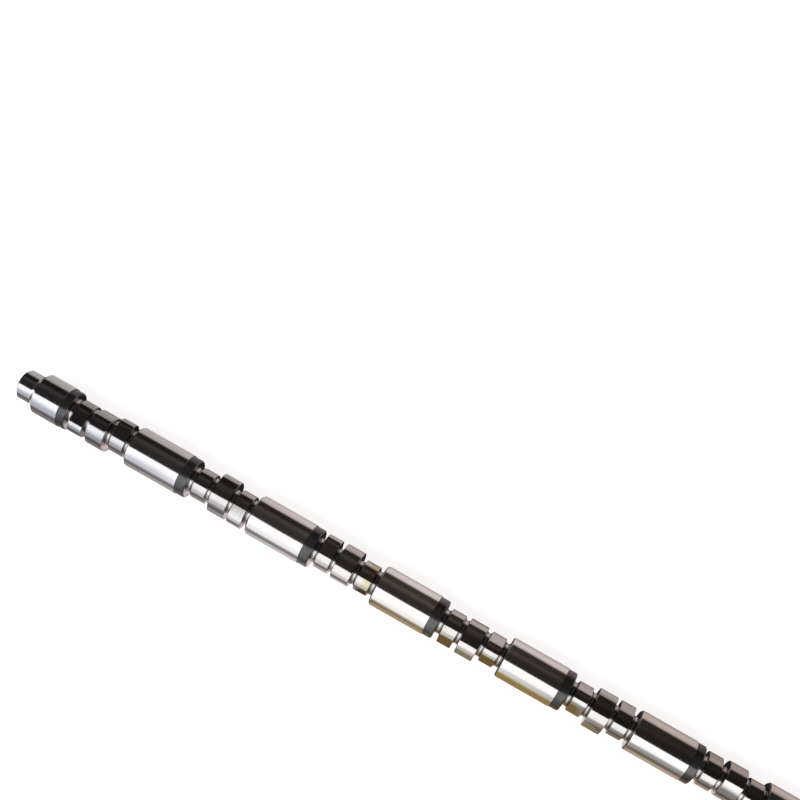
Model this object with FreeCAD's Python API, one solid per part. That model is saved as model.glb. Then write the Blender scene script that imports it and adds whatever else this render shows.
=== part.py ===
import FreeCAD, Part
import math
import os

# Camshaft of a heavy in-line six-cylinder diesel engine: one forged steel piece, turned and ground.
# +X runs along the shaft from the nose to the gear seat, and the origin is the middle of journal 4.
# Every angle is about +X, from +Y towards +Z. Sizes are in millimetres, angles in degrees.

# Engine layout
cylinder_spacing = 168.0
firing_order = (1, 5, 3, 6, 2, 4)

# Bearing journals: a ground length, then a relieved band that is left as forged and turned
journal_diameter = 51.0
journal_lead_chamfer = 1.8
front_journal_lead_chamfer = 4.5
band_length = 12.0
band_relief = 0.8
band_chamfer = 1.8
front_ground_length = 39.0
front_band_length = 9.8
front_group_offset = 1.7
rear_ground_extension = 3.5

# Thin necks between lobes and journals
neck_diameter = 30.6
gap_beside_journal = 6.2
gap_beside_injector_lobe = 5.9

# Valve lobes, one on each side of the injector lobe
valve_lobe_width = 18.3
valve_lift = 5.9
valve_nose_radius = 12.7
valve_flank_radius = 120.0
valve_lobe_clearance = 0.35
first_valve_nose_angle = 150.5
valve_lobe_separation = 110.0

# Injector lobe: inner base circle, slow ramp, outer base circle, nose and fast drop
injector_lobe_width = 23.1
injector_lobe_clearance = 0.15
injector_nose_rise = 0.6
injector_stroke = 5.0
first_injector_angle = 5.5
injector_ramp_start = 10.0
injector_ramp_span = 75.0
injector_dwell_span = 120.0
injector_nose_rise_span = 35.0
injector_drop_span = 75.0

# Nose spigot at the front end
nose_diameter = 37.4
nose_length = 22.2
nose_chamfer = 2.5

# Gear seat at the drive end, with its keyway
gear_seat_diameter = 42.0
gear_seat_length = 42.0
gear_seat_chamfer = 2.0
keyway_width = 9.5
keyway_depth = 3.6
keyway_length = 30.0
keyway_angle = 90.0

# Centre holes in both ends, for turning and grinding between centres
centre_mouth_diameter = 10.0
centre_half_angle = 30.0

# Values worked out from the ones above
journal_radius = journal_diameter / 2
neck_radius = neck_diameter / 2
valve_reach = journal_radius - valve_lobe_clearance
valve_base_radius = valve_reach - valve_lift
injector_nose_radius = journal_radius - injector_lobe_clearance
injector_outer_radius = injector_nose_radius - injector_nose_rise
injector_inner_radius = injector_outer_radius - injector_stroke
lobe_group_length = (2 * gap_beside_journal + 2 * valve_lobe_width
                     + 2 * gap_beside_injector_lobe + injector_lobe_width)
ground_length = cylinder_spacing - lobe_group_length - band_length
middle_journal = 4
journal_count = len(firing_order) + 1
turn_between_firings = 360.0 / len(firing_order)
shaft_direction = FreeCAD.Vector(1, 0, 0)
shaft_origin = FreeCAD.Vector(0, 0, 0)


def lead_chamfer(number):
    """Chamfer at a journal's front, larger on the first journal."""
    return front_journal_lead_chamfer if number == 1 else journal_lead_chamfer


def journal_start(number):
    """Where a journal's front face stands, counted from 1 at the nose."""
    if number == 1:
        return journal_end(1) - front_band_length - front_ground_length
    start = (number - middle_journal) * cylinder_spacing - ground_length / 2
    if number == 2:
        return start + front_group_offset
    return start - rear_ground_extension if number == journal_count else start


def journal_end(number):
    """Where a journal's band ends and the first neck of the next lobe group begins."""
    if number == 1:
        return journal_start(2) - lobe_group_length
    return (number - middle_journal) * cylinder_spacing + ground_length / 2 + band_length


def gear_seat_end():
    """Where the shaft ends, behind the gear seat."""
    return journal_end(journal_count) + gear_seat_length


def group_angle(cylinder):
    """Turn of one cylinder's lobes against the first cylinder's."""
    return -turn_between_firings * firing_order.index(cylinder)


def lobe_stations(cylinder):
    """Start and end of a cylinder's front valve lobe, injector lobe and rear valve lobe."""
    front = journal_end(cylinder) + gap_beside_journal
    injector = front + valve_lobe_width + gap_beside_injector_lobe
    rear = injector + injector_lobe_width + gap_beside_injector_lobe
    return ((front, front + valve_lobe_width),
            (injector, injector + injector_lobe_width),
            (rear, rear + valve_lobe_width))


def centre_hole_corners(end_x, inward):
    """Conical centre hole from its tip out to its mouth, in the end face at end_x."""
    mouth_radius = centre_mouth_diameter / 2
    depth = mouth_radius / math.tan(math.radians(centre_half_angle))
    return [(end_x + inward * depth, 0), (end_x, mouth_radius)]


def nose_corners():
    """Nose spigot, up to the foot of the first journal's front face."""
    shoulder = journal_start(1)
    end_x = shoulder - nose_length
    radius = nose_diameter / 2
    return centre_hole_corners(end_x, 1) + [(end_x, radius - nose_chamfer),
                                            (end_x + nose_chamfer, radius),
                                            (shoulder, radius)]


def journal_corners(number):
    """One journal: lead chamfer, ground length, relieved band and its chamfer."""
    lead = lead_chamfer(number)
    band_start = journal_end(number) - (front_band_length if number == 1 else band_length)
    band_radius = journal_radius - band_relief
    return [(journal_start(number), journal_radius - lead),
            (journal_start(number) + lead, journal_radius),
            (band_start, journal_radius),
            (band_start + band_relief, band_radius),
            (journal_end(number) - band_chamfer, band_radius),
            (journal_end(number), band_radius - band_chamfer)]


def neck_corners(cylinder):
    """The thin stretch that one cylinder's three lobes stand on, between two journals."""
    return [(journal_end(cylinder), neck_radius),
            (journal_start(cylinder + 1), neck_radius)]


def gear_end_corners():
    """Gear seat behind the last journal, end face and centre hole."""
    end_x = gear_seat_end()
    radius = gear_seat_diameter / 2
    corners = [(journal_end(journal_count), radius),
               (end_x - gear_seat_chamfer, radius),
               (end_x, radius - gear_seat_chamfer)]
    return corners + centre_hole_corners(end_x, -1)[::-1]


def turned_shaft():
    """Everything that is turned round the shaft's axis, as one revolved solid."""
    corners = nose_corners() + journal_corners(1)
    for cylinder in sorted(firing_order):
        corners += neck_corners(cylinder) + journal_corners(cylinder + 1)
    corners += gear_end_corners()
    points = [FreeCAD.Vector(x, 0, radius) for x, radius in corners]
    half_section = Part.Face(Part.makePolygon(points + points[:1]))
    return half_section.revolve(shaft_origin, shaft_direction, 360)


def at_angle(angle, radius):
    """Point in the plane across the shaft."""
    turn = math.radians(angle)
    return FreeCAD.Vector(0, radius * math.cos(turn), radius * math.sin(turn))


def arc_about(centre, radius, start, end):
    """Arc of the given centre and radius between two points, by the short way."""
    middle = ((start - centre) + (end - centre)).normalize() * radius + centre
    return Part.Arc(start, middle, end).toShape()


def valve_outline():
    """Valve lobe with its nose along +Y: base circle, two flank arcs and a nose arc, all tangent."""
    nose_offset = valve_reach - valve_nose_radius
    nose_centre = FreeCAD.Vector(0, nose_offset, 0)
    flank_offset = valve_flank_radius - valve_base_radius
    flank_to_nose = valve_flank_radius - valve_nose_radius
    cosine = ((flank_offset ** 2 + nose_offset ** 2 - flank_to_nose ** 2)
              / (2 * flank_offset * nose_offset))
    flank_angle = math.degrees(math.acos(cosine))
    base_end = 180.0 - flank_angle
    edges = [Part.Arc(at_angle(base_end, valve_base_radius), at_angle(180.0, valve_base_radius),
                      at_angle(-base_end, valve_base_radius)).toShape()]
    nose_ends = []
    for side in (-1, 1):
        flank_centre = at_angle(-side * flank_angle, flank_offset)
        base_point = at_angle(side * base_end, valve_base_radius)
        towards_nose = (nose_centre - flank_centre).normalize()
        nose_point = nose_centre + towards_nose * valve_nose_radius
        nose_ends.append(nose_point)
        edges.append(arc_about(flank_centre, valve_flank_radius, base_point, nose_point))
    edges.append(Part.Arc(nose_ends[0], at_angle(0.0, valve_reach), nose_ends[1]).toShape())
    return Part.Wire(Part.__sortEdges__(edges))


def arc_under_apex(start, apex, end):
    """Arc between two points whose end tangents meet at the apex, equally far from both."""
    weight = start.distanceToPoint(end) / (2 * start.distanceToPoint(apex))
    middle = (start + end + apex * (2 * weight)) * (1 / (2 + 2 * weight))
    return Part.Arc(start, middle, end).toShape()


def ramp_arcs(start_angle, end_angle, start_radius, end_radius):
    """Cam ramp of two tangent arcs, which leave one circle and meet the other along them."""
    start = at_angle(start_angle, start_radius)
    end = at_angle(end_angle, end_radius)
    leaving = at_angle(start_angle + 90.0, 1.0)
    arriving = at_angle(end_angle + 90.0, 1.0)
    chord = end - start
    along = chord.dot(leaving + arriving)
    opening = 2 * (1 - leaving.dot(arriving))
    reach = (math.sqrt(along ** 2 + opening * chord.dot(chord)) - along) / opening
    first_apex = start + leaving * reach
    second_apex = end - arriving * reach
    joint = (first_apex + second_apex) / 2
    return [arc_under_apex(start, first_apex, joint), arc_under_apex(joint, second_apex, end)]


def dwell_arc(start_angle, end_angle, radius):
    """Stretch of base circle on which the follower stands still."""
    return Part.Arc(at_angle(start_angle, radius), at_angle((start_angle + end_angle) / 2, radius),
                    at_angle(end_angle, radius)).toShape()


def injector_outline():
    """Injector lobe, with its angles counted from a line through the inner base circle."""
    ramp_end = injector_ramp_start + injector_ramp_span
    dwell_end = ramp_end + injector_dwell_span
    nose_peak = dwell_end + injector_nose_rise_span
    drop_end = nose_peak + injector_drop_span
    edges = ramp_arcs(injector_ramp_start, ramp_end, injector_inner_radius, injector_outer_radius)
    edges.append(dwell_arc(ramp_end, dwell_end, injector_outer_radius))
    edges += ramp_arcs(dwell_end, nose_peak, injector_outer_radius, injector_nose_radius)
    edges += ramp_arcs(nose_peak, drop_end, injector_nose_radius, injector_inner_radius)
    edges.append(dwell_arc(drop_end, 360.0 + injector_ramp_start, injector_inner_radius))
    return Part.Wire(edges)


def lobe(outline, width, start_x, angle):
    """Lobe of the given outline and width, turned and put in place along the shaft."""
    solid = Part.Face(outline).extrude(shaft_direction * width)
    solid.rotate(shaft_origin, shaft_direction, angle)
    solid.translate(FreeCAD.Vector(start_x, 0, 0))
    return solid


def lobes():
    """All eighteen lobes, phased by the firing order."""
    solids = []
    for cylinder in sorted(firing_order):
        turn = group_angle(cylinder)
        front, injector, rear = lobe_stations(cylinder)
        front_angle = first_valve_nose_angle + turn
        rear_angle = front_angle - valve_lobe_separation
        solids.append(lobe(valve_outline(), valve_lobe_width, front[0], front_angle))
        solids.append(lobe(injector_outline(), injector_lobe_width, injector[0],
                           first_injector_angle + turn))
        solids.append(lobe(valve_outline(), valve_lobe_width, rear[0], rear_angle))
    return solids


def keyway():
    """Cutter for the keyway in the gear seat, open at the shaft's end and round at its inner end."""
    seat_radius = gear_seat_diameter / 2
    floor = seat_radius - keyway_depth
    round_x = gear_seat_end() - keyway_length + keyway_width / 2
    straight = Part.makeBox(keyway_length, keyway_width, seat_radius,
                            FreeCAD.Vector(round_x, -keyway_width / 2, floor))
    inner_end = Part.makeCylinder(keyway_width / 2, seat_radius, FreeCAD.Vector(round_x, 0, floor))
    cutter = straight.fuse(inner_end).removeSplitter()
    cutter.rotate(shaft_origin, shaft_direction, keyway_angle - 90.0)
    return cutter


def camshaft():
    """The whole shaft, with its lobes and keyway."""
    solid = turned_shaft().multiFuse(lobes())
    return solid.cut(keyway()).removeSplitter()


shape = camshaft()
os.makedirs("parts", exist_ok=True)
shape.exportStep("parts/camshaft.step")
print("camshaft", len(shape.Solids), "solid", round(shape.Volume / 1000.0, 1), "cubic centimetres",
      "valid", shape.isValid(), "length", round(shape.BoundBox.XLength, 2))
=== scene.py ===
import bpy
import math
from mathutils import Matrix, Vector


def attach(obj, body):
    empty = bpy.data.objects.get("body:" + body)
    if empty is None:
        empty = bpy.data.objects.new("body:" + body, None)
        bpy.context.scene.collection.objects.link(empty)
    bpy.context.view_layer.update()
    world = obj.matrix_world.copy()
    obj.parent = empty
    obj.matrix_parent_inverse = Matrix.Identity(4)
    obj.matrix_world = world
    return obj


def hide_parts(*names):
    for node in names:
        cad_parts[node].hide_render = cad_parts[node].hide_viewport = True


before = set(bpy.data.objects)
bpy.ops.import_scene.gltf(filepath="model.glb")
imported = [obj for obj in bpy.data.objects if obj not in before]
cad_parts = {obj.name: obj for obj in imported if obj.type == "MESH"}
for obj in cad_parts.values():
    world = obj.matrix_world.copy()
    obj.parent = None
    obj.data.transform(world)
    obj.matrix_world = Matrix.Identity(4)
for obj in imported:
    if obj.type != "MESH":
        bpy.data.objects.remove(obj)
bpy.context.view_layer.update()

MM = 0.001

# Sizes of the shaft in millimetres, as in the CAD part
CYLINDER_SPACING = 168.0
JOURNAL_R = 25.5
BAND_R = 24.7
NECK_R = 15.3
BAND = 12.0
FRONT_GROUND = 39.0
FRONT_BAND = 9.8
FRONT_OFFSET = 1.7
REAR_EXTENSION = 3.5
LEAD = 1.8
FRONT_LEAD = 4.5
GAP_JOURNAL = 6.2
GAP_INJECTOR = 5.9
VALVE_WIDTH = 18.3
INJECTOR_WIDTH = 23.1
GROUP = 2 * GAP_JOURNAL + 2 * VALVE_WIDTH + 2 * GAP_INJECTOR + INJECTOR_WIDTH
GROUND = CYLINDER_SPACING - GROUP - BAND
MIDDLE_JOURNAL = 4
LAST_JOURNAL = 7

# Valve lobe: base circle, two flanks and a nose; the flanks are flatter than the part's and lie inside it
VALVE_BASE = 19.25
VALVE_REACH = 25.15
VALVE_NOSE_R = 12.7
FLANK_R = 400.0
VALVE_ANGLE = 150.5
VALVE_SEPARATION = 110.0

# Injector lobe: its radii, and the angles between its ramp, dwell, rise and drop
INJECTOR_BASE = 19.75
INJECTOR_DWELL = 24.75
INJECTOR_PEAK = 25.35
RAMP_START = 10.0
RAMP_END = 85.0
DWELL_END = 205.0
RISE_END = 240.0
DROP_END = 315.0
INJECTOR_ANGLE = 5.5
FIRING = (1, 5, 3, 6, 2, 4)
FIRING_STEP = 60.0

# Nose spigot, gear seat with its keyway, and centre holes
NOSE_R = 18.7
NOSE_LENGTH = 22.2
NOSE_CHAMFER = 2.5
SEAT_R = 21.0
SEAT_LENGTH = 42.0
SEAT_CHAMFER = 2.0
KEY_WIDTH = 9.5
KEY_DEPTH = 3.6
KEY_LENGTH = 30.0
HOLE_R = 5.0
HOLE_CONE = 30.0
HOLE_DEPTH = HOLE_R / math.tan(math.radians(HOLE_CONE))

# Small forms that only the scene has: rounds, fillets and reliefs
LOBE_EDGE = 0.8
NECK_FILLET = 2.9
FILLET_SHARE = 0.48
NOSE_FILLET = 2.2
RELIEF_DEPTH = 0.5
RELIEF_LENGTH = 1.4
HOLE_TIP_R = 0.02
HOLE_MOUTH = 0.5
HOLE_MOUTH_DROP = 0.29
HOLE_MOUTH_FLARE = 0.25
# Corners of a journal, each point as millimetres along the shaft and millimetres below the land
LEAD_EDGE = ((-0.35, 0.35), (-0.105, 0.0525), (0.21, 0.0))
BAND_STEP = ((-0.2, 0.0), (0.0, 0.12), (0.45, JOURNAL_R - BAND_R))
BAND_EDGE = ((-1.8, 0.0), (-0.9, 0.45), (-0.2, 1.3))
BAND_END_DROP = 1.8

# How finely round forms are divided
STEPS = 168
FILLET_STEPS = 6
EDGE_STEPS = 3
NOSE_FILLET_STEPS = 5
KEY_STEPS = 24

GROUND_M, LOBE_M, BAND_M, TURNED_M, FACE_M = range(5)
ANGLES = [360.0 * i / STEPS for i in range(STEPS)]


def unit(angle):
    t = math.radians(angle)
    return (math.cos(t), math.sin(t))


def quarter(steps):
    """Angles of a quarter turn, in radians."""
    return [math.radians(90 * i / steps) for i in range(steps + 1)]


def polar(centre, radius, angle):
    """Distance from the axis to a circle's far side, in the direction of an angle."""
    u = unit(angle)
    d = centre[0] * u[0] + centre[1] * u[1]
    return d + math.sqrt(radius ** 2 - centre[0] ** 2 - centre[1] ** 2 + d * d)


def valve_radius(angle):
    """Valve lobe's radius at an angle from its nose."""
    a = abs((angle + 180.0) % 360.0 - 180.0)
    offset = VALVE_REACH - VALVE_NOSE_R
    far = FLANK_R - VALVE_BASE
    cosine = (far ** 2 + offset ** 2 - (FLANK_R - VALVE_NOSE_R) ** 2) / (2 * far * offset)
    flank = math.degrees(math.acos(cosine))
    fx, fy = far * math.cos(math.radians(flank)), -far * math.sin(math.radians(flank))
    tx, ty = offset - fx, -fy
    size = math.hypot(tx, ty)
    nx, ny = offset + tx / size * VALVE_NOSE_R, ty / size * VALVE_NOSE_R
    if a >= 180.0 - flank:
        return VALVE_BASE
    if a <= math.degrees(math.atan2(ny, nx)):
        return polar((offset, 0.0), VALVE_NOSE_R, a)
    return polar((fx, fy), FLANK_R, a)


def ramp(a0, a1, r0, r1):
    """Two tangent arcs between two base circles: [(end angle, centre, radius), ...]."""
    s = (r0 * unit(a0)[0], r0 * unit(a0)[1])
    e = (r1 * unit(a1)[0], r1 * unit(a1)[1])
    t0, t1 = unit(a0 + 90), unit(a1 + 90)
    c = (e[0] - s[0], e[1] - s[1])
    along = c[0] * (t0[0] + t1[0]) + c[1] * (t0[1] + t1[1])
    opening = 2 * (1 - t0[0] * t1[0] - t0[1] * t1[1])
    reach = (math.sqrt(along ** 2 + opening * (c[0] ** 2 + c[1] ** 2)) - along) / opening
    j = ((s[0] + e[0] + reach * (t0[0] - t1[0])) / 2, (s[1] + e[1] + reach * (t0[1] - t1[1])) / 2)
    joint_angle = math.degrees(math.atan2(j[1], j[0])) % 360.0
    out = []
    for p, n, end in ((s, unit(a0 + 180), joint_angle), (e, unit(a1 + 180), a1)):
        d = (j[0] - p[0], j[1] - p[1])
        r = (d[0] ** 2 + d[1] ** 2) / (2 * (n[0] * d[0] + n[1] * d[1]))
        out.append((end, (p[0] + n[0] * r, p[1] + n[1] * r), r))
    return out


INJECTOR_ARCS = (
    ramp(RAMP_START, RAMP_END, INJECTOR_BASE, INJECTOR_DWELL)
    + [(DWELL_END, (0.0, 0.0), INJECTOR_DWELL)]
    + ramp(DWELL_END, RISE_END, INJECTOR_DWELL, INJECTOR_PEAK)
    + ramp(RISE_END, DROP_END, INJECTOR_PEAK, INJECTOR_BASE)
    + [(RAMP_START + 360.0, (0.0, 0.0), INJECTOR_BASE)]
)


def injector_radius(angle):
    """Injector lobe's radius at an angle from the place where its angles begin."""
    a = (angle - RAMP_START) % 360.0 + RAMP_START
    for end, centre, radius in INJECTOR_ARCS:
        if a <= end + 1e-9:
            return polar(centre, radius, a)
    return INJECTOR_BASE


def journal_start(n):
    if n == 1:
        return journal_end(1) - FRONT_BAND - FRONT_GROUND
    start = (n - MIDDLE_JOURNAL) * CYLINDER_SPACING - GROUND / 2
    return start + {2: FRONT_OFFSET, LAST_JOURNAL: -REAR_EXTENSION}.get(n, 0.0)


def journal_end(n):
    if n == 1:
        return journal_start(2) - GROUP
    return (n - MIDDLE_JOURNAL) * CYLINDER_SPACING + GROUND / 2 + BAND


rings = []


def ring(x, radius, finish, crease=True):
    """One ring of the surface; finish is that of the strip behind it."""
    radii = [float(radius)] * STEPS if isinstance(radius, (int, float)) else radius
    rings.append((x, radii, finish, crease))


def corner(x, radius, points, finish, smooth=None):
    """Rings at points along from a place and below a radius; the one at index smooth has no crease."""
    for i, (along, drop) in enumerate(points):
        ring(x + along, radius - drop, finish, i != smooth)


def neck(x0, x1):
    """A thin neck from wall to wall, with a round fillet at each foot."""
    f = min(NECK_FILLET, FILLET_SHARE * (x1 - x0))
    turns = quarter(FILLET_STEPS)
    for t in turns:
        ring(x0 + f - f * math.cos(t), NECK_R + f - f * math.sin(t), TURNED_M, t == turns[0])
    for t in reversed(turns):
        finish = FACE_M if t == turns[0] else TURNED_M
        ring(x1 - f + f * math.cos(t), NECK_R + f - f * math.sin(t), finish, t == turns[0])


def lobe(x0, x1, radii):
    """A lobe with softly broken edges; its walls start and end at the neck fillets."""
    turns = quarter(EDGE_STEPS)
    ends = (turns[0], turns[-1])
    for t in turns:
        drop = LOBE_EDGE - LOBE_EDGE * math.sin(t)
        ring(x0 + LOBE_EDGE - LOBE_EDGE * math.cos(t), [r - drop for r in radii], LOBE_M, t in ends)
    for t in reversed(turns):
        drop = LOBE_EDGE - LOBE_EDGE * math.sin(t)
        finish = FACE_M if t == turns[0] else LOBE_M
        ring(x1 - LOBE_EDGE + LOBE_EDGE * math.cos(t), [r - drop for r in radii], finish, t in ends)


def journal(n):
    """A ground journal with its chamfer in front and the dark band behind it."""
    start, end = journal_start(n), journal_end(n)
    lead = FRONT_LEAD if n == 1 else LEAD
    band = FRONT_BAND if n == 1 else BAND
    ring(start, JOURNAL_R - lead, GROUND_M if n == 1 else BAND_M)
    corner(start + lead, JOURNAL_R, LEAD_EDGE, GROUND_M, 1)
    corner(end - band, JOURNAL_R, BAND_STEP, BAND_M)
    corner(end, BAND_R, BAND_EDGE, BAND_M, 1)
    ring(end, BAND_R - BAND_END_DROP, FACE_M)


def group(cylinder):
    """Valve, injector and valve lobe of one cylinder, with the necks around them."""
    turn = -FIRING_STEP * FIRING.index(cylinder)
    front_valve = [valve_radius(a - VALVE_ANGLE - turn) for a in ANGLES]
    injector = [injector_radius(a - INJECTOR_ANGLE - turn) for a in ANGLES]
    rear_valve = [valve_radius(a - VALVE_ANGLE + VALVE_SEPARATION - turn) for a in ANGLES]
    x = journal_end(cylinder)
    for gap, width, radii in (
        (GAP_JOURNAL, VALVE_WIDTH, front_valve),
        (GAP_INJECTOR, INJECTOR_WIDTH, injector),
        (GAP_INJECTOR, VALVE_WIDTH, rear_valve),
    ):
        neck(x, x + gap)
        lobe(x + gap, x + gap + width, radii)
        x += gap + width
    neck(x, journal_start(cylinder + 1))


def nose():
    """Centre hole, end face and spigot in front of journal 1, with a fillet at the spigot's foot."""
    foot = journal_start(1)
    front = foot - NOSE_LENGTH
    ring(front + HOLE_DEPTH, HOLE_TIP_R, TURNED_M)
    ring(front + HOLE_MOUTH, HOLE_R - HOLE_MOUTH_DROP, TURNED_M)
    ring(front, HOLE_R + HOLE_MOUTH_FLARE, FACE_M)
    ring(front, NOSE_R - NOSE_CHAMFER, GROUND_M)
    ring(front + NOSE_CHAMFER, NOSE_R, GROUND_M)
    f = NOSE_FILLET
    for t in quarter(NOSE_FILLET_STEPS):
        ring(foot - f + f * math.sin(t), NOSE_R + f - f * math.cos(t), GROUND_M, t == 0.0)


def gear_seat():
    """Gear seat behind the last journal, with a relief at its foot and a centre hole, still without keyway."""
    foot = journal_end(LAST_JOURNAL)
    back = foot + SEAT_LENGTH
    ring(foot, SEAT_R - RELIEF_DEPTH, TURNED_M)
    ring(foot + RELIEF_LENGTH, SEAT_R - RELIEF_DEPTH, TURNED_M)
    ring(foot + RELIEF_LENGTH + RELIEF_DEPTH, SEAT_R, GROUND_M)
    ring(back - SEAT_CHAMFER, SEAT_R, GROUND_M)
    ring(back, SEAT_R - SEAT_CHAMFER, FACE_M)
    ring(back, HOLE_R + HOLE_MOUTH_FLARE, TURNED_M)
    ring(back - HOLE_MOUTH, HOLE_R - HOLE_MOUTH_DROP, TURNED_M)
    ring(back - HOLE_DEPTH, HOLE_TIP_R, TURNED_M)


def surface():
    """One closed mesh through all rings, with a sharp edge along each creased one."""
    verts, faces, finishes = [], [], []
    for x, radii, finish, crease in rings:
        for a, r in zip(ANGLES, radii):
            u = unit(a)
            verts.append((x * MM, r * u[0] * MM, r * u[1] * MM))
    for k in range(len(rings) - 1):
        a, b = k * STEPS, (k + 1) * STEPS
        for i in range(STEPS):
            j = (i + 1) % STEPS
            faces.append((a + i, a + j, b + j, b + i))
            finishes.append(rings[k][2])
    last = (len(rings) - 1) * STEPS
    faces.append(tuple(range(STEPS - 1, -1, -1)))
    faces.append(tuple(range(last, last + STEPS)))
    finishes += [TURNED_M, TURNED_M]
    mesh = bpy.data.meshes.new("camshaft_steel")
    mesh.from_pydata(verts, [], faces)
    for polygon, finish in zip(mesh.polygons, finishes):
        polygon.material_index = finish
        polygon.use_smooth = True
    sharp_rings = {k for k, r in enumerate(rings) if r[3]}
    for edge in mesh.edges:
        a, b = edge.vertices
        if a // STEPS == b // STEPS and a // STEPS in sharp_rings:
            edge.use_edge_sharp = True
    mesh.update()
    return mesh


def cut_keyway(shaft, materials):
    """Cut the gear seat's keyway, open at the end face and round at its other end."""
    clear = 5.0
    margin = 0.5
    back = journal_end(LAST_JOURNAL) + SEAT_LENGTH
    half = KEY_WIDTH / 2
    centre = back - KEY_LENGTH + half
    outline = []
    for i in range(KEY_STEPS + 1):
        t = math.radians(90 + 180 * i / KEY_STEPS)
        outline.append((centre + half * math.cos(t), half * math.sin(t)))
    outline += [(back + clear, -half), (back + clear, half)]
    count = len(outline)
    verts = [(x * MM, y * MM, z * MM) for z in (SEAT_R - KEY_DEPTH, SEAT_R + clear) for x, y in outline]
    faces = [tuple(range(count))[::-1], tuple(range(count, 2 * count))]
    faces += [(i, (i + 1) % count, count + (i + 1) % count, count + i) for i in range(count)]
    mesh = bpy.data.meshes.new("key_cutter")
    mesh.from_pydata(verts, [], faces)
    for material in materials:
        mesh.materials.append(material)
    for polygon in mesh.polygons:
        polygon.material_index = TURNED_M
    cutter = bpy.data.objects.new("key_cutter", mesh)
    bpy.context.scene.collection.objects.link(cutter)
    cut = shaft.modifiers.new("keyway", "BOOLEAN")
    cut.operation = "DIFFERENCE"
    cut.solver = "EXACT"
    cut.object = cutter
    bpy.context.view_layer.update()
    depsgraph = bpy.context.evaluated_depsgraph_get()
    finished = bpy.data.meshes.new_from_object(shaft.evaluated_get(depsgraph))
    shaft.modifiers.clear()
    shaft.data = finished
    bpy.data.objects.remove(cutter)
    # The keyway's walls and floor are flat, so they aren't shaded smooth
    nearest = (back - KEY_LENGTH - margin) * MM
    lowest = (SEAT_R - KEY_DEPTH - margin) * MM
    for polygon in finished.polygons:
        place = polygon.center
        if polygon.material_index == TURNED_M and place.x > nearest and place.z > lowest:
            polygon.use_smooth = False


def principled(name):
    material = bpy.data.materials.new(name)
    material.use_nodes = True
    tree = material.node_tree
    return material, tree, tree.nodes["Principled BSDF"]


def node(tree, kind, **values):
    n = tree.nodes.new(kind)
    for key, value in values.items():
        setattr(n, key, value)
    return n


def maths(tree, operation, *values):
    """A maths node's output; each value is a number or another node's output."""
    n = node(tree, "ShaderNodeMath", operation=operation)
    for socket, value in zip(n.inputs, values):
        if isinstance(value, float):
            socket.default_value = value
        else:
            tree.links.new(value, socket)
    return n.outputs[0]


def separate(tree, coordinates):
    """X, Y and Z outputs of one kind of texture coordinates."""
    place = node(tree, "ShaderNodeTexCoord")
    split = node(tree, "ShaderNodeSeparateXYZ")
    tree.links.new(place.outputs[coordinates], split.inputs[0])
    return split.outputs


def scaled_noise(tree, scale, detail, stretch, rough=0.5):
    """Noise in object space, stretched by a factor along each axis."""
    place = node(tree, "ShaderNodeTexCoord")
    mapping = node(tree, "ShaderNodeMapping")
    mapping.inputs["Scale"].default_value = stretch
    tree.links.new(place.outputs["Object"], mapping.inputs["Vector"])
    noise = node(tree, "ShaderNodeTexNoise")
    noise.inputs["Scale"].default_value = scale
    noise.inputs["Detail"].default_value = detail
    noise.inputs["Roughness"].default_value = rough
    tree.links.new(mapping.outputs["Vector"], noise.inputs["Vector"])
    return noise.outputs["Fac"]


def remap(tree, value, low, high, from_low=0.3, from_high=0.7):
    m = node(tree, "ShaderNodeMapRange")
    m.inputs["From Min"].default_value = from_low
    m.inputs["From Max"].default_value = from_high
    m.inputs["To Min"].default_value = low
    m.inputs["To Max"].default_value = high
    tree.links.new(value, m.inputs["Value"])
    return m.outputs["Result"]


def colour_mix(tree, factor, a, b):
    """Mix of two colours, each written out or another node's output."""
    m = node(tree, "ShaderNodeMix", data_type="RGBA")
    for name, colour in (("A", a), ("B", b)):
        if isinstance(colour, tuple):
            m.inputs[name].default_value = (*colour, 1.0)
        else:
            tree.links.new(colour, m.inputs[name])
    tree.links.new(factor, m.inputs["Factor"])
    return m.outputs["Result"]


def colour_ramp(tree, value, low, high, stops):
    """Colours along a value that runs from low to high: [(value, colour), ...]."""
    span = node(tree, "ShaderNodeMapRange")
    span.inputs["From Min"].default_value = low
    span.inputs["From Max"].default_value = high
    tree.links.new(value, span.inputs["Value"])
    ramp_node = node(tree, "ShaderNodeValToRGB")
    elements = ramp_node.color_ramp.elements
    elements[0].position, elements[0].color = 0.0, (*stops[0][1], 1.0)
    elements[1].position, elements[1].color = 1.0, (*stops[-1][1], 1.0)
    for at, colour in stops:
        if low < at < high:
            elements.new((at - low) / (high - low)).color = (*colour, 1.0)
    tree.links.new(span.outputs["Result"], ramp_node.inputs[0])
    return ramp_node.outputs["Color"]


def number_ramp(tree, value, low, high, stops):
    """Numbers from 0 to 1 along a value that runs from low to high: [(value, number), ...]."""
    return colour_ramp(tree, value, low, high, [(at, (number,) * 3) for at, number in stops])


def blend_along(tree, value, columns):
    """Blend colours one after another along a value: [(value, colour output), ...]."""
    place, result = columns[0]
    for next_place, colour in columns[1:]:
        part = remap(tree, value, 0.0, 1.0, place, next_place)
        place, result = next_place, colour_mix(tree, part, result, colour)
    return result


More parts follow.
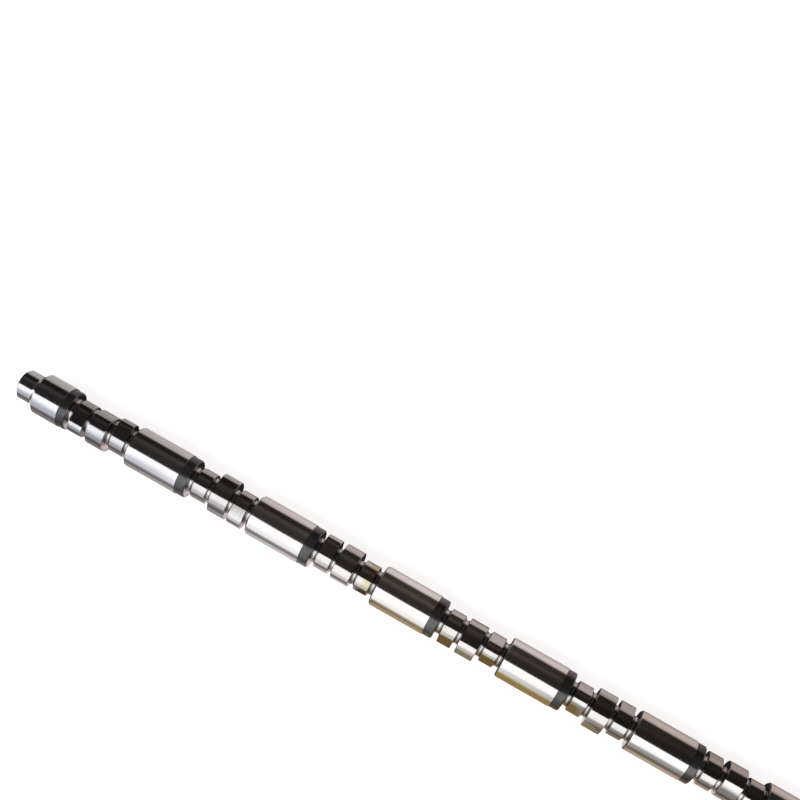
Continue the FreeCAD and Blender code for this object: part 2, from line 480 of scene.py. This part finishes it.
def steel(name, dark, light, metallic, rough, lines, bump, depth, film=()):
    """Turned or ground steel, with marks that run round the shaft and, where film says so, a golden film."""
    material, tree, bsdf = principled(name)
    bsdf.inputs["Metallic"].default_value = metallic
    blotch = scaled_noise(tree, scale=45.0, detail=4.0, stretch=(0.6, 1.0, 1.0))
    base = colour_mix(tree, remap(tree, blotch, 0.0, 1.0), dark, light)
    if film:
        amount = number_ramp(tree, separate(tree, "Object")["X"], FILM_FROM, FILM_TO, film)
        base = colour_mix(tree, amount, base, FILM_COLOUR)
    tree.links.new(base, bsdf.inputs["Base Color"])
    marks = scaled_noise(tree, scale=1.0, detail=3.0, stretch=(lines, 18.0, 18.0), rough=0.6)
    tree.links.new(remap(tree, marks, *rough), bsdf.inputs["Roughness"])
    b = node(tree, "ShaderNodeBump")
    b.inputs["Strength"].default_value = bump
    b.inputs["Distance"].default_value = depth
    tree.links.new(marks, b.inputs["Height"])
    tree.links.new(b.outputs["Normal"], bsdf.inputs["Normal"])
    return material


# Where the golden film lies, in metres along the shaft: on the rear valve lobe of group 3
FILM_COLOUR = (0.375, 0.325, 0.235)
FILM_FROM, FILM_TO = -0.1, 0.1
FILM_STOPS = ((-0.0540, 0.0), (-0.0500, 0.8), (-0.0420, 1.0), (-0.0405, 0.0))


def steel_finishes():
    """One material for each finish, in the order of their numbers."""
    return [
        steel("ground_journal", (0.58, 0.565, 0.56), (0.64, 0.625, 0.615), metallic=1.0,
              rough=(0.08, 0.13), lines=2600.0, bump=0.06, depth=0.00002),
        steel("ground_lobe", (0.375, 0.362, 0.355), (0.425, 0.412, 0.402), metallic=1.0,
              rough=(0.06, 0.10), lines=2200.0, bump=0.06, depth=0.00002, film=FILM_STOPS),
        steel("dark_band", (0.062, 0.061, 0.060), (0.102, 0.100, 0.099), metallic=0.7,
              rough=(0.15, 0.24), lines=1400.0, bump=0.12, depth=0.00004),
        steel("turned_neck", (0.36, 0.347, 0.338), (0.44, 0.427, 0.418), metallic=1.0,
              rough=(0.13, 0.18), lines=1100.0, bump=0.05, depth=0.00003),
        steel("side_face", (0.30, 0.285, 0.28), (0.42, 0.405, 0.395), metallic=1.0,
              rough=(0.18, 0.28), lines=30.0, bump=0.0, depth=0.00004),
    ]


# The shaft, from nose to gear seat
nose()
journal(1)
for number in range(1, LAST_JOURNAL):
    group(number)
    journal(number + 1)
gear_seat()
shaft = bpy.data.objects.new("camshaft_steel", surface())
bpy.context.scene.collection.objects.link(shaft)
finishes = steel_finishes()
for finish in finishes:
    shaft.data.materials.append(finish)
cut_keyway(shaft, finishes)
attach(shaft, "root")
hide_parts("camshaft")


FLOOR_REACH = 0.9


def painted_reflection_stops(horizon, near, line, rise, close, far, far_close):
    """Painted reflection that polished steel sees in the floor, by metres across: near side, under the shaft,
    far side.
    """
    # The bright stops just beside the contact are painted light on the floor, and the near-black stops under
    # the shaft's far side are a painted shadow of the shaft
    foot, painted_shadow = (1.15, 1.00, 1.04), (0.03, 0.03, 0.03)
    return (
        (-FLOOR_REACH, horizon), (-0.28, near), (-0.145, line), (-0.100, rise), (-0.074, close),
        (-0.032, close), (-0.026, foot), (-0.012, foot), (-0.004, painted_shadow), (0.032, painted_shadow),
        (0.045, far_close), (0.110, far), (FLOOR_REACH, far),
    )


# Painted reflections of the floor that the steel sees, with painted light and a painted shadow near the shaft,
# from the nose end to the gear end
blue_grey = painted_reflection_stops(
    horizon=(0.75, 0.75, 0.84), near=(0.46, 0.46, 0.52), line=(0.21, 0.20, 0.22), rise=(0.13, 0.11, 0.12),
    close=(0.30, 0.27, 0.27), far=(0.61, 0.58, 0.58), far_close=(0.66, 0.62, 0.62))
pink = painted_reflection_stops(
    horizon=(1.08, 1.05, 1.06), near=(0.56, 0.53, 0.54), line=(0.29, 0.26, 0.27), rise=(0.43, 0.38, 0.38),
    close=(0.98, 0.90, 0.89), far=(1.02, 0.89, 0.88), far_close=(0.70, 0.61, 0.61))
bronze = painted_reflection_stops(
    horizon=(0.95, 0.90, 0.82), near=(0.55, 0.49, 0.42), line=(0.16, 0.12, 0.09), rise=(0.12, 0.08, 0.06),
    close=(0.13, 0.09, 0.07), far=(0.98, 0.86, 0.85), far_close=(0.66, 0.57, 0.56))
straw = painted_reflection_stops(
    horizon=(1.02, 0.98, 0.88), near=(0.74, 0.68, 0.56), line=(0.325, 0.265, 0.175), rise=(0.34, 0.26, 0.145),
    close=(0.56, 0.44, 0.26), far=(1.04, 0.91, 0.90), far_close=(0.68, 0.58, 0.57))
umber = painted_reflection_stops(
    horizon=(0.95, 0.90, 0.72), near=(0.62, 0.50, 0.30), line=(0.33, 0.22, 0.10), rise=(0.32, 0.205, 0.085),
    close=(0.32, 0.205, 0.085), far=(0.98, 0.86, 0.85), far_close=(0.66, 0.56, 0.55))
golden = painted_reflection_stops(
    horizon=(0.95, 0.90, 0.72), near=(0.66, 0.58, 0.35), line=(0.45, 0.35, 0.15), rise=(0.40, 0.29, 0.10),
    close=(0.44, 0.31, 0.12), far=(0.98, 0.86, 0.85), far_close=(0.66, 0.56, 0.55))
sand = painted_reflection_stops(
    horizon=(0.95, 0.92, 0.86), near=(0.80, 0.72, 0.62), line=(0.62, 0.52, 0.40), rise=(0.52, 0.42, 0.30),
    close=(0.50, 0.40, 0.28), far=(0.98, 0.86, 0.85), far_close=(0.66, 0.56, 0.55))
clay = painted_reflection_stops(
    horizon=(0.62, 0.58, 0.54), near=(0.42, 0.35, 0.28), line=(0.31, 0.23, 0.17), rise=(0.30, 0.22, 0.16),
    close=(0.45, 0.36, 0.26), far=(0.90, 0.78, 0.74), far_close=(0.58, 0.49, 0.46))
dusk = painted_reflection_stops(
    horizon=(0.42, 0.38, 0.36), near=(0.28, 0.24, 0.20), line=(0.21, 0.16, 0.11), rise=(0.26, 0.20, 0.14),
    close=(0.66, 0.55, 0.44), far=(0.78, 0.66, 0.60), far_close=(0.50, 0.42, 0.38))
# Each colour with the places between which it holds, in metres along the shaft; neighbours blend
PAINTED_REFLECTION_PARTS = (
    (blue_grey, (-0.49,)),
    (pink, (-0.068,)),
    (bronze, (-0.060, -0.045)),
    (straw, (-0.038, 0.047)),
    (umber, (0.051, 0.074)),
    (sand, (0.079, 0.101)),
    (umber, (0.106, 0.127)),
    (golden, (0.133, 0.241)),
    (sand, (0.247, 0.270)),
    (clay, (0.276,)),
    (dusk, (0.34,)),
)
FLOOR_SIZE = 12.0
FLOOR_COLOUR = (0.80, 0.78, 0.78, 1.0)
FLOOR_GLOW_COLOUR = (1.0, 0.985, 0.985, 1.0)
FLOOR_GLOW = 0.89


def floor_material():
    """White to the camera, with the object's shadow; polished steel sees instead a glowing floor of painted
    reflections, with a painted shadow under the shaft.
    """
    material, tree, bsdf = principled("pale_floor")
    bsdf.inputs["Base Color"].default_value = FLOOR_COLOUR
    bsdf.inputs["Roughness"].default_value = 0.9
    bsdf.inputs["Specular IOR Level"].default_value = 0.0
    bsdf.inputs["Emission Color"].default_value = FLOOR_GLOW_COLOUR
    path = node(tree, "ShaderNodeLightPath")
    glow = maths(tree, "MULTIPLY", path.outputs["Is Camera Ray"], FLOOR_GLOW)
    tree.links.new(glow, bsdf.inputs["Emission Strength"])
    across = separate(tree, "Object")
    columns = []
    for stops, places in PAINTED_REFLECTION_PARTS:
        columns += [(x, colour_ramp(tree, across["Y"], -FLOOR_REACH, FLOOR_REACH, stops)) for x in places]
    # Glossy rays see this glow instead of the lit floor: painted reflection and painted shadow, cast by no
    # lamp
    painted_floor_glow = node(tree, "ShaderNodeEmission")
    tree.links.new(blend_along(tree, across["X"], columns), painted_floor_glow.inputs["Color"])
    choose = node(tree, "ShaderNodeMixShader")
    tree.links.new(path.outputs["Is Glossy Ray"], choose.inputs[0])
    tree.links.new(bsdf.outputs[0], choose.inputs[1])
    tree.links.new(painted_floor_glow.outputs[0], choose.inputs[2])
    tree.links.new(choose.outputs[0], tree.nodes["Material Output"].inputs["Surface"])
    return material


# Floor, on which the journals rest
bpy.ops.mesh.primitive_plane_add(size=FLOOR_SIZE, location=(0.0, 0.0, -JOURNAL_R * MM))
floor = bpy.context.object
floor.name = "floor"
floor.data.materials.append(floor_material())

# Camera as the photo's: place in metres, focal length in the photo's pixels, shift in picture widths
AZIMUTH, ELEVATION = math.radians(29.827), math.radians(82.145)
CAMERA_PLACE = (0.10833, -0.13561, 1.34663)
PHOTO_WIDTH = 800.0
FOCAL_PIXELS = 1164.7
SENSOR = 36.0
SHIFT_X, SHIFT_Y = -0.035, 0.235

back_dir = Vector((
    math.sin(AZIMUTH) * math.cos(ELEVATION), -math.cos(AZIMUTH) * math.cos(ELEVATION), math.sin(ELEVATION)))
right_dir = Vector((math.cos(AZIMUTH), math.sin(AZIMUTH), 0.0))
up_dir = back_dir.cross(right_dir)
camera_data = bpy.data.cameras.new("camera")
camera = bpy.data.objects.new("camera", camera_data)
bpy.context.scene.collection.objects.link(camera)
turned = Matrix((right_dir, up_dir, back_dir)).transposed()
camera.matrix_world = Matrix.Translation(CAMERA_PLACE) @ turned.to_4x4()
camera_data.sensor_width = SENSOR
camera_data.sensor_fit = "HORIZONTAL"
camera_data.lens = FOCAL_PIXELS * SENSOR / PHOTO_WIDTH
camera_data.shift_x = SHIFT_X
camera_data.shift_y = SHIFT_Y
camera_data.clip_end = 50.0
bpy.context.scene.camera = camera


SKY_FROM, SKY_TO = -160.0, 200.0


def sky_stops(low, middle, top, overhead, streak, far, wall, fade=0.0):
    """Sky colours by degrees from the edge: bright near side below 0, dark far side and pale wall above 0."""
    return (
        (-70.0, low), (-56.0 + fade, low), (-44.0 + fade, middle), (-28.0 + fade, top), (-1.2, top),
        (1.2, overhead), (34.0, overhead), (54.0, streak), (60.0, streak), (72.0, far), (90.0, far),
        (96.0, tuple(1.6 * c for c in far)), (105.0, tuple(0.8 * c for c in wall)), (113.0, wall),
        (SKY_TO, wall),
    )


sky_ends = sky_stops(
    low=(0.80, 0.80, 0.82), middle=(1.60, 1.60, 1.62), top=(2.40, 2.40, 2.42), overhead=(0.04, 0.036, 0.034),
    streak=(0.05, 0.046, 0.042), far=(0.03, 0.026, 0.024), wall=(0.12, 0.11, 0.11))
sky_nose = sky_stops(
    low=(0.66, 0.71, 0.84), middle=(0.95, 1.02, 1.18), top=(1.50, 1.54, 1.66), overhead=(0.026, 0.024, 0.026),
    streak=(0.058, 0.058, 0.054), far=(0.016, 0.014, 0.014), wall=(0.60, 0.58, 0.58), fade=7.0)
sky_front = sky_stops(
    low=(1.42, 1.41, 1.44), middle=(1.58, 1.58, 1.60), top=(1.60, 1.59, 1.60), overhead=(0.054, 0.044, 0.041),
    streak=(0.080, 0.075, 0.067), far=(0.032, 0.024, 0.020), wall=(0.88, 0.78, 0.77))
sky_middle = sky_stops(
    low=(1.52, 1.50, 1.50), middle=(1.60, 1.59, 1.59), top=(1.60, 1.59, 1.59), overhead=(0.046, 0.037, 0.034),
    streak=(0.122, 0.106, 0.083), far=(0.068, 0.053, 0.040), wall=(1.06, 0.93, 0.92))
sky_rear = sky_stops(
    low=(0.44, 0.43, 0.42), middle=(1.40, 1.41, 1.43), top=(1.60, 1.59, 1.59), overhead=(0.024, 0.017, 0.016),
    streak=(0.033, 0.027, 0.022), far=(0.034, 0.027, 0.021), wall=(0.78, 0.66, 0.60), fade=4.5)
# The sky's parts by a direction's X, which is -1 at the nose end and 1 at the gear end
SKY_PARTS = (
    (-0.62, sky_ends), (-0.40, sky_nose), (-0.20, sky_front), (-0.08, sky_middle), (0.165, sky_rear),
    (0.55, sky_ends),
)

# Where the bright half ends, as a direction's X and degrees from the zenith to the near side
EDGE_FROM, EDGE_TO = -0.45, 0.30
MOST_DEGREES = 40.0
EDGE_LINE = (
    (EDGE_FROM, 24.5), (-0.393, 24.1), (-0.387, 22.0), (-0.3735, 22.0), (-0.3715, 26.3), (-0.3565, 26.3),
    (-0.3540, 20.5), (-0.3405, 20.5), (-0.338, 21.4), (-0.307, 21.2), (-0.2485, 19.8), (-0.2465, 14.5),
    (-0.2315, 14.5), (-0.2290, 19.4), (-0.1670, 19.2), (-0.1655, 16.5), (-0.1290, 16.5), (-0.1265, 20.6),
    (-0.1110, 20.6), (-0.1085, 19.1), (-0.0235, 19.3), (-0.0225, 16.5), (-0.0045, 16.5), (-0.0030, 19.6),
    (0.044, 20.2), (0.168, 23.1), (0.2225, 23.8), (0.2235, 20.5), (0.2405, 20.5), (0.2415, 24.0),
    (EDGE_TO, 25.0),
)

# The bright half is stronger where the lobes mirror it: a direction's X at each lobe group's ends
LOBE_SPANS = ((-0.3900, -0.3380), (-0.2850, -0.2275), (-0.1685, -0.1075), (-0.0451, 0.0178), (0.0806, 0.1423),
              (0.2026, 0.2581))
SPAN_BLUR = 0.0015
LOBE_GAIN = 0.5
GAIN_FROM, GAIN_TO = -60.0, 10.0
GAIN_HEIGHTS = ((GAIN_FROM, 0.0), (-52.0, 0.0), (-38.0, 1.0), (-1.2, 1.0), (1.2, 0.0), (GAIN_TO, 0.0))


def lobe_gain_stops():
    """1 inside each lobe group's span and 0 between them."""
    stops = [(EDGE_FROM, 0.0)]
    for start, end in LOBE_SPANS:
        stops += [(start - SPAN_BLUR, 0.0), (start + SPAN_BLUR, 1.0)]
        stops += [(end - SPAN_BLUR, 1.0), (end + SPAN_BLUR, 0.0)]
    return stops + [(EDGE_TO, 0.0)]


def studio_world():
    """The sky that the steel mirrors, with plain white for the camera."""
    world = bpy.data.worlds.new("studio")
    world.use_nodes = True
    tree = world.node_tree
    background = tree.nodes["Background"]
    direction = separate(tree, "Generated")
    from_zenith = maths(tree, "DEGREES", maths(tree, "ARCTAN2", direction["Y"], direction["Z"]))
    edge_stops = [(x, degrees / MOST_DEGREES) for x, degrees in EDGE_LINE]
    edge = number_ramp(tree, direction["X"], EDGE_FROM, EDGE_TO, edge_stops)
    from_edge = maths(tree, "MULTIPLY_ADD", edge, MOST_DEGREES, from_zenith)
    columns = [(x, colour_ramp(tree, from_edge, SKY_FROM, SKY_TO, stops)) for x, stops in SKY_PARTS]
    tree.links.new(blend_along(tree, direction["X"], columns), background.inputs["Color"])
    gain_along = number_ramp(tree, direction["X"], EDGE_FROM, EDGE_TO, lobe_gain_stops())
    gain_up = number_ramp(tree, from_edge, GAIN_FROM, GAIN_TO, GAIN_HEIGHTS)
    gain = maths(tree, "MULTIPLY", gain_along, gain_up)
    tree.links.new(maths(tree, "MULTIPLY_ADD", gain, LOBE_GAIN, 1.0), background.inputs["Strength"])
    white = node(tree, "ShaderNodeBackground")
    white.inputs["Color"].default_value = (1.0, 1.0, 1.0, 1.0)
    white.inputs["Strength"].default_value = 1.0
    path = node(tree, "ShaderNodeLightPath")
    mix = node(tree, "ShaderNodeMixShader")
    tree.links.new(path.outputs["Is Camera Ray"], mix.inputs[0])
    tree.links.new(background.outputs[0], mix.inputs[1])
    tree.links.new(white.outputs[0], mix.inputs[2])
    tree.links.new(mix.outputs[0], tree.nodes["World Output"].inputs["Surface"])
    return world


bpy.context.scene.world = studio_world()

bpy.context.scene.view_settings.view_transform = "Standard"
